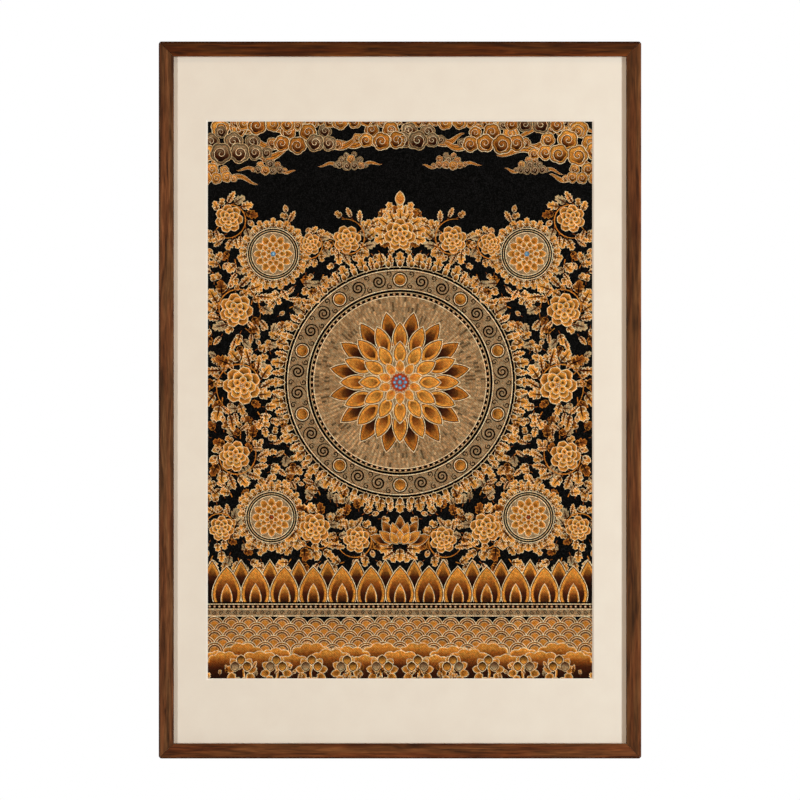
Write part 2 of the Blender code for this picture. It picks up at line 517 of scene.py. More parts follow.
def climb(*stops):
    # a tone for each place, from (level, name) pairs that climb the motif
    levels = [level for level, _ in stops]
    colours = np.array([tones[name] for _, name in stops]).T
    return lambda u, v: np.array([np.interp(v, levels, channel) for channel in colours])


class Motif:
    # woven shapes as arrays, ready to be placed many times

    def __init__(self, points, corners, sizes, colours, shapes=None):
        self.points, self.corners, self.sizes, self.colours = points, corners, sizes, colours
        # the shape that each point belongs to
        self.shapes = np.zeros(len(points), int) if shapes is None else shapes
        self.other = None

    def mirrored(self):
        # each face keeps its place in the order and runs the other way round
        if self.other is None:
            first = np.cumsum(self.sizes) - self.sizes
            step = np.arange(len(self.corners)) - np.repeat(first, self.sizes)
            back = np.repeat(first + self.sizes - 1, self.sizes) - step
            self.other = Motif(self.points * (-1, 1, 1), self.corners[back], self.sizes, self.colours[back],
                               self.shapes)
        return self.other

    def trimmed(self, halfWidth, halfHeight):
        # without the shapes that would reach past the cloth
        past = (np.abs(self.points[:, 0]) > halfWidth) | (np.abs(self.points[:, 1]) > halfHeight)
        kept = ~np.isin(self.shapes, np.unique(self.shapes[past]))
        faces = kept[self.corners[np.cumsum(self.sizes) - self.sizes]]
        corners = np.repeat(faces, self.sizes)
        places = np.cumsum(kept) - 1
        return Motif(self.points[kept], places[self.corners[corners]], self.sizes[faces],
                     self.colours[corners], self.shapes[kept])

    def triangles(self):
        return int((self.sizes - 2).sum())


def motifOf(bm):
    # undersides and walls come first, so that a baked picture shows the tops
    bmesh.ops.recalc_face_normals(bm, faces=bm.faces[:])
    bm.faces.sort(key=lambda f: f.normal.z)
    bm.verts.index_update()
    layer = bm.loops.layers.float_color["threadColour"]
    points = np.array([v.co[:] for v in bm.verts])
    corners = np.array([c.vert.index for f in bm.faces for c in f.loops])
    sizes = np.array([len(f.loops) for f in bm.faces])
    colours = np.array([c[layer][:3] for f in bm.faces for c in f.loops])
    bm.free()
    return Motif(points, corners, sizes, colours)


def put(parts, motif, at=(0, 0), turn=0, size=1.0, layer=0, tint=1.0, flip=False):
    # turns are in degrees, anticlockwise
    parts.append((motif, at, turn, size, layer, tint, flip))


def pair(parts, motif, at=(0, 0), turn=0, size=1.0, layer=0, tint=1.0, flip=False):
    # the design is the same on the left and right
    put(parts, motif, at, turn, size, layer, tint, flip)
    put(parts, motif, (-at[0], at[1]), -turn, size, layer, tint, not flip)


def bothSides(parts, motif, at, *look):
    # a pair, or just one where it stands in the middle
    draw = pair if at[0] else put
    draw(parts, motif, at, *look)


def around(centre, radius, degrees):
    # degrees run anticlockwise from straight up
    a = math.radians(degrees)
    return (centre[0] - radius * math.sin(a), centre[1] + radius * math.cos(a))


def ring(parts, motif, radius, count, start=0, size=1.0, layer=0, tint=1.0, centre=(0, 0)):
    for k in range(count):
        degrees = start + 360 * k / count
        put(parts, motif, around(centre, radius, degrees), degrees, size, layer, tint)


def gather(parts):
    # one motif out of many, which may still be trimmed shape by shape
    points, corners, sizes, colours, shapes = [], [], [], [], []
    first = shape = 0
    for index, (motif, at, turn, size, layer, tint, flip) in enumerate(parts):
        motif = motif.mirrored() if flip else motif
        u, v, h = (motif.points * (size, size, 1)).T
        a = math.radians(turn)
        rise = layer * weave["layer"] + index % weave["staggers"] * weave["stagger"]
        u, v = at[0] + u * math.cos(a) - v * math.sin(a), at[1] + u * math.sin(a) + v * math.cos(a)
        points.append(np.stack((u, v, h + rise), axis=1))
        corners.append(motif.corners + first)
        sizes.append(motif.sizes)
        colours.append(motif.colours * tint)
        shapes.append(motif.shapes + shape)
        first += len(motif.points)
        shape += motif.shapes.max() + 1
    return Motif(*(np.concatenate(lists) for lists in (points, corners, sizes, colours, shapes)))


def oneShape(parts):
    whole = gather(parts)
    whole.shapes[:] = 0
    return whole


def stack(*places):
    # a shape made of others, each given as the arguments of put
    parts = []
    for place in places:
        put(parts, *place)
    return oneShape(parts)


def paint(bm, faces, tone):
    layer = bm.loops.layers.float_color["threadColour"]
    for face in faces:
        for corner in face.loops:
            value = tone(corner.vert) if callable(tone) else tones[tone]
            corner[layer] = (*value, 1)


def newShape():
    bm = bmesh.new()
    bm.loops.layers.float_color.new("threadColour")
    return bm


def raisedTop(face):
    face.normal_update()
    if face.normal.z < 0:
        face.normal_flip()
    return face


def insetFace(bm, face, width, depth):
    return bmesh.ops.inset_region(bm, faces=[face], thickness=width, depth=depth, use_boundary=True,
                                  use_even_offset=True)["faces"]


def closeUnder(bm):
    return bmesh.ops.holes_fill(bm, edges=[e for e in bm.edges if e.is_boundary], sides=0)["faces"]


def outlineShape(outline, rings, fill, cuts=()):
    # rings run inwards from the outline, each a width with its tone, or with its outer and inner tone;
    # the fill inside them is cut across at the given levels, so that its tones can climb in steps
    bm = newShape()
    face = raisedTop(bm.faces.new([bm.verts.new((u, v, 0)) for u, v in outline]))
    depth = weave["thick"]
    for width, *names in [(weave["wall"], rings[0][1])] + rings:
        made = insetFace(bm, face, width, depth)
        core = set(face.verts)
        paint(bm, made, lambda vert: tones[names[-1 if vert in core else 0]])
        depth = 0
    under = closeUnder(bm)
    tops = [face]
    for level in cuts:
        geometry = tops + list({e for f in tops for e in f.edges}) + list({v for f in tops for v in f.verts})
        cut = bmesh.ops.bisect_plane(bm, geom=geometry, dist=0.001, plane_co=(0, level, 0),
                                     plane_no=(0, 1, 0))
        tops = [item for item in cut["geom"] if isinstance(item, bmesh.types.BMFace)]
    paint(bm, tops + under, lambda vert: fill(vert.co.x, vert.co.y) if callable(fill) else tones[fill])
    return motifOf(bm)


def ribbon(path, width, tone, closed=False):
    # a flat thread line along a path; width may be one value or one per point
    path = [Vector((u, v, 0)) for u, v in path]
    widths = [width] * len(path) if isinstance(width, (int, float)) else width
    up = Vector((0, 0, weave["thick"]))
    last = len(path) - 1
    places = []
    for i, point in enumerate(path):
        before = path[i - 1] if i or closed else point
        after = path[(i + 1) % len(path)] if i < last or closed else point
        side = (after - before).cross(Vector((0, 0, 1))).normalized() * widths[i] / 2
        inner = side * max(1 - 2 * weave["wall"] / widths[i], 0.1)
        places.append((point - side, point - inner + up, point + inner + up, point + side))
    bm = newShape()
    section = [bm.verts.new(place) for place in places[0]]
    start = [bm.edges.new((section[k - 1], section[k])) for k in range(4)]
    rim = start
    for place in places[1:]:
        made = bmesh.ops.extrude_edge_only(bm, edges=rim)["geom"]
        rim = [item for item in made if isinstance(item, bmesh.types.BMEdge) and item.is_boundary]
        fresh = {item for item in made if isinstance(item, bmesh.types.BMVert)}
        section = [next(e.other_vert(v) for e in v.link_edges if e.other_vert(v) in fresh) for v in section]
        for vert, spot in zip(section, place):
            vert.co = spot
    if closed:
        bmesh.ops.bridge_loops(bm, edges=start + rim)
    else:
        bmesh.ops.holes_fill(bm, edges=start + rim, sides=0)
    paint(bm, bm.faces, tone)
    return motifOf(bm)


def seed(radius, edge, middle):
    # a small dome, for pearls and flower centres
    bm = newShape()
    bmesh.ops.create_circle(bm, cap_ends=True, segments=8, radius=radius)
    face = raisedTop(bm.faces[:][0])
    insetFace(bm, face, weave["wall"], weave["thick"])
    closeUnder(bm)
    top = bmesh.ops.poke(bm, faces=[face])["verts"][0]
    top.co = (-radius * 0.2, radius * 0.2, weave["thick"] * 1.1)
    paint(bm, bm.faces, lambda vert: tones[middle if vert is top else edge])
    return motifOf(bm)


def taper(count, most, least=0.4):
    # widths for a line that swells towards its middle
    return [least + (most - least) * math.sin(math.pi * k / (count - 1)) ** 0.8 for k in range(count)]


def petalOutline(length, width, sharp, steps, belly):
    # a larger sharp makes its ends more pointed, and a larger belly moves its widest place up
    side = [(width / 2 * math.sin(math.pi * t ** belly) ** sharp, t * length)
            for t in np.linspace(0, 1, steps + 2)[1:-1]]
    return [(0, 0)] + side + [(0, length)] + [(-u, v) for u, v in reversed(side)]


def frilledOutline(length, width, steps=11, frill=0.09):
    # a round petal with a wavy edge
    points = [(0, 0)]
    for k in range(steps):
        a = math.radians(140 - 280 * k / (steps - 1))
        reach = 1 - frill * (k % 2)
        points.append((width / 2 * math.sin(a) * reach, length / 2 * (1 + math.cos(a) * reach)))
    return points


def leafOutline(length, width, lobes):
    # pointed, with lobes that lean towards the tip
    side = []
    for k in range(lobes):
        start, end = (0.06 + 0.8 * (k + step) / lobes for step in (0, 1))
        reach = width / 2 * math.sin(math.pi * (0.16 + 0.7 * (k + 0.6) / lobes))
        side += [(reach * 0.8, length * (start + 0.06)), (reach, length * end),
                 (reach * 0.56, length * (end + 0.03))]
    return [(0, 0)] + side + [(0, length)] + [(-u, v) for u, v in reversed(side)]


def scallopOutline(radius, lobes, depth=0.12, steps=4):
    points = []
    for k in range(lobes * steps):
        bulge = math.sin(math.pi * (k % steps) / steps) ** 0.6 if k % steps else 0
        points.append(around((0, 0), radius * (1 - depth + depth * bulge), 360 * k / (lobes * steps)))
    return points


def rockOutline(width, height, lumps, base=20):
    points = [(-width / 2 - 3, -base), (width / 2 + 3, -base)]
    for k in range(lumps * 4 + 1):
        t = math.pi * k / (lumps * 4)
        bump = 1 + 0.1 * abs(math.sin(t * lumps))
        points.append((width / 2 * math.cos(t) * bump, height * math.sin(t) ** 0.8 * bump))
    return points


def discOutline(radius, sides):
    return [around((0, 0), radius, 360 * k / sides) for k in range(sides)]


def spiralPath(outer, inner, turns, steps, start=0):
    return [around((0, 0), outer + (inner - outer) * t ** 0.8, start + 360 * turns * t)
            for t in np.linspace(0, 1, steps)]


# Petals, leaves and flowers, each growing up from (0, 0).


def petalShape(length, width, rings, fill, sharp=0.7, steps=5, belly=0.85, cuts=()):
    return outlineShape(petalOutline(length, width, sharp, steps, belly), rings, fill, cuts)


lotusBack = petalShape(46, 22, [(0.9, "pale"), (1.1, "umber"), (3.2, "gold", "brown")],
                       climb((12, "black"), (26, "umber"), (40, "gold")), 0.8, 7, cuts=(20, 28))
lotusMid = petalShape(39, 20, [(0.95, "pale"), (1.0, "umber"), (3.0, "ochre", "gold")],
                      climb((6, "black"), (18, "brown"), (32, "ochre")), 0.75, 7, cuts=(14, 22))
lotusFront = petalShape(30, 18, [(0.9, "pale"), (0.9, "umber"), (2.6, "ochre")],
                        climb((2, "umber"), (22, "ochre")), 0.72, 6)
lotusHeart = petalShape(17, 11.5, [(0.8, "pale"), (1.8, "gold", "ochre")], climb((0, "rust"), (13, "ochre")))
rosePetal = petalShape(12, 9.6, [(0.7, "pale"), (1.3, "gold", "ochre")], climb((0, "black"), (9, "gold")),
                       0.5, 4, 0.7)
smallPetal = petalShape(11, 7.6, [(0.7, "pale")], climb((0, "black"), (4, "umber"), (9, "ochre")), 0.6, 4)


def frilledPetal(length, width, low, high):
    return outlineShape(frilledOutline(length, width), [(0.6, "pale"), (1.3, "ochre", high)],
                        climb((length * 0.4, low), (length * 0.85, high)), (length * 0.5, length * 0.7))


outerPetal = frilledPetal(13.5, 13.5, "black", "gold")
middlePetal = frilledPetal(10.5, 10.5, "black", "ochre")
innerPetal = frilledPetal(7.6, 7.4, "umber", "ochre")
pearl = seed(1.7, "brown", "pale")
pearlBlue = seed(2.2, "blue", "sky")
pearlRust = seed(2.0, "umber", "rust")


def peonyMotif():
    parts = []
    ring(parts, outerPetal, 4.6, 7, 0)
    ring(parts, middlePetal, 3.2, 6, 25, layer=0.9)
    ring(parts, innerPetal, 1.4, 5, 0, layer=1.8)
    ring(parts, pearl, 1.9, 5, 36, 0.7, layer=2.7)
    put(parts, pearl, size=0.7, layer=2.7)
    return oneShape(parts)


peony = peonyMotif()
ribPath = [(0, -1), (0.35, 4), (0.3, 8), (0, 12)]
rib = ribbon(ribPath, [1.5, 1.9, 1.2, 0.4], "umber")
ribDark = ribbon(ribPath, [1.2, 1.5, 0.9, 0.4], "black")
stalk = ribbon([(0.9, -4.5), (0.2, -2), (0, 0.6)], [0.6, 0.9, 1.0], "brown")


def leafMotif(length, width, lobes, rim, fill, vein=rib):
    blade = outlineShape(leafOutline(length, width, lobes), [(0.6, rim)], fill)
    return stack((blade,), (vein, (0, 0), 0, length / 15, 0.3))


leaves = {
    "broad": leafMotif(15, 12, 3, "pale", climb((0, "umber"), (9, "ochre"))),
    "narrow": leafMotif(16, 8.6, 4, "pale", climb((0, "brown"), (8, "gold"), (14, "ochre"))),
    "short": leafMotif(11, 10, 2, "pale", climb((0, "umber"), (7, "ochre"))),
    "grey": leafMotif(14, 11, 3, "sand", climb((0, "umber"), (10, "sand"))),
    "deep": leafMotif(15, 11.5, 3, "gold", climb((0, "black"), (13, "brown")), ribDark),
    "bud": stack((petalShape(11, 7.4, [(0.65, "pale")], climb((0, "ochre"), (8, "gold")), 0.6, 4),),
                 (petalShape(6, 4.4, [(0.5, "pale")], climb((0, "black"), (5, "brown")), 0.7, 3),
                  (0, 0), 0, 1.0, 0.5)),
}
stalked = {kind: stack((stalk,), (leaf, (0, 0), 0, 1.0, 0.2)) for kind, leaf in leaves.items()}
leafShares = ["broad"] * 4 + ["narrow"] * 3 + ["short"] * 3 + ["grey"] * 2 + ["deep"] * 2 + ["bud"]


def sprigMotif(kinds, bend):
    # a twig with its leaves, the last one at its tip
    twig = [(bend * (t / 20) ** 2, t) for t in range(-3, 21, 4)]
    parts = []
    put(parts, ribbon(twig, [1.2 - 0.1 * k for k in range(len(twig))], "gold"))
    for k, kind in enumerate(kinds[:-1]):
        side = 1 if k % 2 else -1
        t = 3 + 5.5 * k
        root = (bend * (t / 20) ** 2, t)
        put(parts, leaves[kind], root, side * (58 - 5 * k), 0.95 - 0.06 * k, 0.5 + 0.3 * k)
    put(parts, leaves[kinds[-1]], (bend, 19), -bend * 5, 0.85, 0.5 + 0.3 * len(kinds))
    return oneShape(parts)


sprigs = [sprigMotif(kinds, bend) for kinds, bend in (
    (("broad", "broad", "short", "bud"), 2), (("narrow", "broad", "short", "broad"), -3),
    (("broad", "grey", "narrow", "short"), 3), (("deep", "narrow", "short", "bud"), -2),
    (("grey", "short", "deep", "broad"), 2),
)]


# Clouds, each a heap of puffs with swirls and two tails.
swirls = {
    "pale": ribbon(spiralPath(8.6, 1.0, 1.35, 14, 200), 0.8, "pale"),
    "shade": ribbon(spiralPath(7.6, 0.8, 1.3, 14, 200), 1.5, "umber"),
}


def puffMotif(edge, low, high, dark):
    puff = outlineShape(scallopOutline(12, 5), [(0.8, edge), (2.4, dark, high)],
                        climb((-7, dark), (-1, low), (7, high)), cuts=(-4, 0, 4))
    return stack((puff,), (swirls["shade"], (0, 0), 0, 1.0, 0.3), (swirls["pale"], (0, 0), 0, 1.0, 0.6))


puffs = [puffMotif("pale", "gold", "ochre", "umber"), puffMotif("pale", "brown", "ochre", "black"),
         puffMotif("pale", "brown", "gold", "black"), puffMotif("sand", "umber", "taupe", "black")]
cloudPuffs = [  # u, v, size; the back row first
    (-9, 27, 0.68), (9, 25, 0.62), (-24, 15, 0.72), (20, 14, 0.8), (-3, 15, 0.95), (38, 3, 0.55),
    (-40, 1, 0.52), (-28, 2, 0.8), (27, 2, 0.85), (-11, 1, 0.92), (9, 0, 1.0),
]


def tailMotif(length, rise):
    # a wisp that thins out to a point
    path = [(length * t, rise * math.sin(math.pi * 1.6 * t)) for t in np.linspace(0, 1, 14)]
    thin = [(1 - t) ** 0.7 for t in np.linspace(0, 1, 14)]
    return stack(*((ribbon(path, [0.3 + width * t for t in thin], tone), (0, 0), 0, 1.0, lift)
                   for width, tone, lift in ((10.5, "pale", 0), (8.8, "umber", 0.3), (6.8, "gold", 0.6),
                                             (1.0, "umber", 0.9))))


tails = [tailMotif(46, 5), tailMotif(34, -4)]


# The threads are joined into six pieces, each a list of what is put in it.
woven = {name: [] for name in ("taupeThreads", "goldThreads", "lineThreads", "leafThreads", "cloudThreads",
                               "rockThreads")}


def weavePiece(name, parts, material):
    parts.sort(key=lambda part: part[4])
    half = (clothHigh - clothLow) / 2 / mm
    whole = gather(parts).trimmed(half.x - weave["selvedge"], half.z - weave["selvedge"])
    points = np.stack((whole.points[:, 0] * mm, clothLow.y - whole.points[:, 2] * mm,
                       centreZ + whole.points[:, 1] * mm), axis=1)
    mesh = bpy.data.meshes.new(name)
    mesh.vertices.add(len(points))
    mesh.vertices.foreach_set("co", points.ravel())
    mesh.loops.add(len(whole.corners))
    mesh.loops.foreach_set("vertex_index", whole.corners)
    mesh.polygons.add(len(whole.sizes))
    mesh.polygons.foreach_set("loop_start", np.cumsum(whole.sizes) - whole.sizes)
    mesh.update(calc_edges=True)
    rgba = np.ones((len(whole.corners), 4))
    rgba[:, :3] = np.clip(whole.colours, 0, 1)
    painted = mesh.color_attributes.new("threadColour", "FLOAT_COLOR", "CORNER")
    painted.data.foreach_set("color", rgba.ravel())
    spots = points[whole.corners][:, [0, 2]] - (clothLow.x, clothLow.z)
    spots /= (clothHigh.x - clothLow.x, clothHigh.z - clothLow.z)
    mesh.uv_layers.new(name="OFBake").data.foreach_set("uv", spots.ravel())
    mesh.validate()
    mesh.shade_smooth()
    mesh.set_sharp_from_angle(angle=math.radians(30))
    mesh.materials.append(material)
    piece = bpy.data.objects.new(name, mesh)
    bpy.context.scene.collection.objects.link(piece)
    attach(piece, "root")
    print(name, "has", whole.triangles(), "triangles, up to", round(whole.points[:, 2].max(), 3), "mm high")
    return piece


def threadMaterial():
    nodes = Nodes("brocadeThread")
    at = nodes.place()
    colour = nodes.add("ShaderNodeVertexColor", layer_name="threadColour").outputs["Color"]
    grain = nodes.noise(at, weave["grainScale"], 2.0, 0.6)
    cloud = nodes.noise(at, weave["cloudScale"], 2.0)
    level = nodes.scaled(grain, 2.5, -0.22)
    level = nodes.scaled(level, nodes.scaled(cloud, 0.4, 0.8))
    hue = nodes.ramp(nodes.noise(at, weave["hueScale"], 1.0),
                     [(0.36, (1.0, 0.8, 0.62)), (0.5, (0.97, 0.9, 0.84)), (0.64, (0.9, 1.0, 1.0))])
    tone = nodes.multiply(colour, hue)
    tone = nodes.multiply(tone, nodes.grey(level))
    weft = nodes.wave(at, weave["weftPitch"] * mm, "Z")
    twill = nodes.wave(at, weave["twillPitch"] * mm, "DIAGONAL")
    ribs = nodes.scaled(nodes.scaled(weft, 0.5, 0.75), nodes.scaled(twill, 0.36, 0.82))
    tone = nodes.multiply(tone, nodes.grey(ribs))
    height = nodes.scaled(ribs, 0.8, grain)
    return nodes.finish(tone, 0.62, nodes.bump(height, 0.35, weave["weftDepth"] * mm), 0.03)


# The design: a lotus medallion in a peony scroll, under clouds and over a lotus border, waves and rocks.
# Layers run from 0, on the ground, to 9. A row of a ring lists its motif, radius, count, first angle, size,
# layer and tint.
rng = random.Random(7)


def ringLine(radius, width, tone, sides=96):
    return ribbon(discOutline(radius, sides), width, tone, closed=True)


def bandDisc(radius, tone, sides=96):
    return outlineShape(discOutline(radius, sides), [(0.6, tone)], tone)


def rayDisc(outer, inner, rings, sectors):
    # fine rays: each short stretch of a ray takes one of a few tones
    bm = newShape()
    radii = np.linspace(outer - weave["wall"], inner, rings)
    chain = [bm.verts.new((outer, 0, 0))] + [bm.verts.new((r, 0, weave["thick"])) for r in radii]
    edges = [bm.edges.new(ends) for ends in zip(chain, chain[1:])]
    bmesh.ops.spin(bm, geom=chain + edges, cent=(0, 0, 0), axis=(0, 0, 1), angle=math.tau, steps=sectors,
                   use_merge=True)

    def place(face):
        # its sector and radius, because spin gives its faces in no fixed order
        middle = face.calc_center_median()
        return int(math.atan2(middle.y, middle.x) % math.tau / math.tau * sectors), middle.length

    for face in sorted(bm.faces, key=place):
        shade = rng.choice((0.3, 0.65, 0.9, 1.0, 1.1, 1.3)) if place(face)[0] % 2 else 0.75
        paint(bm, [face], lambda vert: tones["ray"] * shade)
    paint(bm, closeUnder(bm), "taupe")
    return motifOf(bm)


medallion = {
    "centre": (0, 22),
    "discs": [(143, "black"), (140, "taupe"), (116, "black")],  # radius and thread, each on top of the last
    "rays": {"outer": 107, "inner": 56, "rings": 9, "sectors": 240},
    "lines": [(107.5, 1.1, "pale"), (112, 1.0, "sand"), (116, 1.1, "pale"), (117.4, 0.5, "umber"),
              (138.6, 0.5, "umber"), (140, 1.1, "pale"), (144, 1.0, "sand")],  # radius, width, thread
    "bandRadius": 128,
    "bandScrolls": 30,  # every third one is a stud
    "smallCurls": [(120.2, 0), (135.8, 180)],  # radius and turn, along the band's two edges
    "rings": [
        (leaves["broad"], 146, 40, 0, 1.15, 2.0, 0.85), (leaves["narrow"], 144, 40, 4.5, 1.05, 3.0, 1.0),
        (smallPetal, 142.5, 64, 0, 0.95, 4.0, 1.0), (lotusBack, 44, 16, 11.25, 1.0, 5, 1.0),
        (lotusMid, 37, 16, 0, 1.0, 6, 1.0), (lotusFront, 22, 12, 0, 1.0, 7, 1.0),
        (lotusHeart, 11, 10, 0, 1.05, 8, 1.0),
    ],
    "heart": {"radius": 12, "tone": "rust", "sides": 24},
    "beads": [
        (pearl, 12, 20, 0, 1.0, 9.0, 1.0), (pearlBlue, 6.6, 8, 0, 1.0, 9.0, 1.0),
        (pearlBlue, 0, 1, 0, 1.4, 9.0, 1.0), (pearl, 109.8, 96, 0, 1.0, 5, 1.0),
    ],
}


def drawMedallion():
    discs, gold, lines = woven["taupeThreads"], woven["goldThreads"], woven["lineThreads"]
    centre = medallion["centre"]
    for layer, (radius, tone) in enumerate(medallion["discs"]):
        put(discs, bandDisc(radius, tone), centre, layer=layer)
    put(discs, rayDisc(**medallion["rays"]), centre, layer=3)
    for radius, width, tone in medallion["lines"]:
        put(discs, ringLine(radius, width, tone), centre, layer=4)
    stud = outlineShape(discOutline(9.4, 20), [(1.5, "black"), (0.9, "pale"), (2.1, "umber", "gold")],
                        climb((-5, "umber"), (6, "ochre")))
    curl = ribbon(spiralPath(10.2, 1.2, 2.1, 28), taper(28, 2.3, 1.0), "black")
    small = ribbon(spiralPath(4.0, 0.9, 1.2, 10), taper(10, 1.5, 0.8), "black")
    step = 360 / medallion["bandScrolls"]
    for k in range(medallion["bandScrolls"]):
        at = around(centre, medallion["bandRadius"], step * k)
        if k % 3 == 0:
            put(gold, stud, at, step * k, 1.05, 5)
        else:
            put(lines, curl, at, step * k + 180 * (k % 3 - 1), 1.0, 5, flip=k % 3 == 1)
        between = step * (k + 0.5)
        for radius, turn in medallion["smallCurls"]:
            put(lines, small, around(centre, radius, between), between + turn, 1.05, 5)
    for row in medallion["rings"]:
        ring(gold, *row, centre)
    put(lines, bandDisc(**medallion["heart"]), centre, layer=8.4)
    for row in medallion["beads"]:
        ring(lines, *row, centre)


roundels = {
    "centres": [(158, 182), (160, -146)],
    "middles": [pearlBlue, pearlRust],
    "discs": [(32.5, "black", 0), (26.5, "taupe", 0.5)],  # radius, thread, layer
    "lines": [(32, "pale"), (29.2, "sand"), (26.5, "pale")],  # radius, thread
    "petals": [(rosePetal, 12.5, 12, 0, 1.05, 1.5, 1.0), (rosePetal, 7.5, 10, 18, 0.75, 2.1, 1.0),
               (rosePetal, 2.5, 6, 0, 0.65, 2.7, 1.0)],
    "leaves": [(leaves["broad"], 33, 15, 0, 0.85, 3.0, 0.9),
               (leaves["short"], 32.5, 15, 12, 0.95, 4.0, 1.0)],
}


def roundelMotif(middle):
    parts = []
    for radius, tone, layer in roundels["discs"]:
        put(parts, bandDisc(radius, tone, 48), layer=layer)
    for radius, tone in roundels["lines"]:
        put(parts, ringLine(radius, 1.0, tone, 60), layer=1.0)
    for row in roundels["petals"]:
        ring(parts, *row)
    put(parts, middle, size=1.5, layer=3.3)
    return oneShape(parts)


def drawRoundels():
    gold = woven["goldThreads"]
    for (u, v), middle in zip(roundels["centres"], roundels["middles"]):
        pair(gold, roundelMotif(middle), (u, v), layer=5)
        for side in (-1, 1):
            for row in roundels["leaves"]:
                ring(gold, *row, (side * u, v))


foliage = {
    "peonies": [(66, 200, 1.0), (213, 226, 1.0), (204, 112, 1.2), (197, 18, 1.35), (206, -70, 1.1),
                (106, -160, 1.1), (222, -160, 0.9), (54, -174, 0.95), (112, 194, 0.8)],  # u, v, size
    "gaps": [(0, -174, 32, 34), (224, 66, 22, 12), (242, 42, 14, 16), (70, -192, 22, 7), (166, -193, 28, 6),
             (244, -28, 12, 18), (162, 100, 12, 10)],  # bare ellipses: u, v, half sizes
    "sprigs": (16.8, 9000),  # how far apart they stand, and how many places are tried
    "leaves": (8.3, 14000),
    "across": (7, 249),  # where places are tried
    "upwards": (-226, 262),
    "top": 216,  # about where the leaves end
    "bottom": -204,
    "medallionGap": 158,  # leaves keep this far from the medallion's middle
    "sprayGap": 157,  # or this, along a peony's stem
    "tipGap": 152,  # or this, at a sprig's tip
    "roundelGap": 37,
    "peonyGap": 15,  # times the peony's size
}


def leafEdge(u):
    # the foliage ends below this, and bare black ground shows between it and the clouds
    return foliage["top"] + 9 * math.cos(u / 21) + 11 * math.cos(u / 52 + 0.6)


def inside(u, v, ellipses):
    return any(((u - a) / ru) ** 2 + ((v - b) / rv) ** 2 < 1 for a, b, ru, rv in ellipses)


def bareGround(u, v):
    if v > leafEdge(u) or v < foliage["bottom"] or inside(u, v, foliage["gaps"]):
        return True
    if math.dist((u, v), medallion["centre"]) < foliage["medallionGap"]:
        return True
    if any(math.dist((u, v), centre) < foliage["roundelGap"] for centre in roundels["centres"]):
        return True
    peonies = foliage["peonies"] + [crest["peony"]]
    return any(math.dist((u, v), (a, b)) < foliage["peonyGap"] * size for a, b, size in peonies)


def drawLeaf(at, turn, size, layer):
    leaf = stalked[rng.choice(leafShares)]
    pair(woven["leafThreads"], leaf, at, turn, size, layer, rng.uniform(0.75, 1.1), rng.random() < 0.5)


def drawSpray(at, size):
    # a stem that curls out round a peony, with leaves on its outer side; gives where they are
    start, way = rng.uniform(0, 360), rng.choice((-1, 1))
    curl = [(size * (14 + 12 * t), start + way * 290 * t) for t in np.linspace(0, 1, 24)]
    stem = ribbon([around(at, *spot) for spot in curl], taper(24, 1.4), "gold")
    pair(woven["leafThreads"], stem, layer=4.4)
    grown = []
    for radius, degrees in curl[1::2]:
        spot = around(at, radius + 3 * size, degrees)
        if inside(*spot, foliage["gaps"]) or math.dist(spot, medallion["centre"]) <= foliage["sprayGap"]:
            continue
        drawLeaf(spot, degrees + way * 36, size * rng.uniform(0.85, 1.1), 3 + rng.random())
        grown.append(around(spot, 7 * size, degrees))
    return grown


def drawFoliage():
    kept = np.full((1, 2), 1e3)  # where leaves are; the first is far off the cloth
    for a, b, size in foliage["peonies"]:
        kept = np.vstack([kept] + drawSpray((a, b), size))
    for kind in ("sprigs", "leaves"):
        spacing, tries = foliage[kind]
        for _ in range(tries):
            spot = (rng.uniform(*foliage["across"]), rng.uniform(*foliage["upwards"]))
            if bareGround(*spot) or np.hypot(*(kept - spot).T).min() < spacing:
                continue
            a, b, _ = min(foliage["peonies"], key=lambda p: math.dist(p[:2], spot))
            degrees = math.degrees(math.atan2(a - spot[0], spot[1] - b)) + rng.uniform(-50, 50)
            if kind == "leaves":
                drawLeaf(spot, degrees, rng.uniform(0.75, 1.05), 1 + rng.random())
                kept = np.vstack((kept, spot))
                continue
            reach = [around(spot, along, degrees) for along in (-7, 0, 8, 16, 23)]
            if reach[-1][0] < 8 or math.dist(reach[-1], medallion["centre"]) < foliage["tipGap"]:
                continue
            pair(woven["leafThreads"], rng.choice(sprigs), spot, degrees, rng.uniform(0.85, 1.1),
                 1.2 + rng.random(), rng.uniform(0.8, 1.1), rng.random() < 0.5)
            kept = np.vstack([kept] + reach)
    for a, b, size in foliage["peonies"]:
        pair(woven["goldThreads"], peony, (a, b), rng.uniform(0, 50), size, 5.2)


crest = {
    "peony": (0, 206, 1.15),  # u, v, size
    "fan": [(9, 15, 1.25, "broad", "broad"), (8, 20, 1.15, "deep", "narrow"),
            (5, 27, 1.1, "short", "broad")],  # count, radius, size, and its leaves in turn
    "tip": 36,  # above the peony
}


def drawCrest():
    # a peony over the medallion, with a fan of leaves that tapers upwards
    a, b, size = crest["peony"]
    put(woven["goldThreads"], peony, (a, b), 0, size, 5.2)
    for row, (count, radius, length, *kinds) in enumerate(crest["fan"]):
        for k in range(count):
            degrees = (k - (count - 1) / 2) * (26 - 3 * row)
            spot = around((a, b), radius, degrees)
            put(woven["leafThreads"], leaves[kinds[k % 2]], spot, degrees, length, 4 - row, 1.0, degrees < 0)
    put(woven["goldThreads"], lotusHeart, (a, b + crest["tip"]), 0, 1.1, 3)


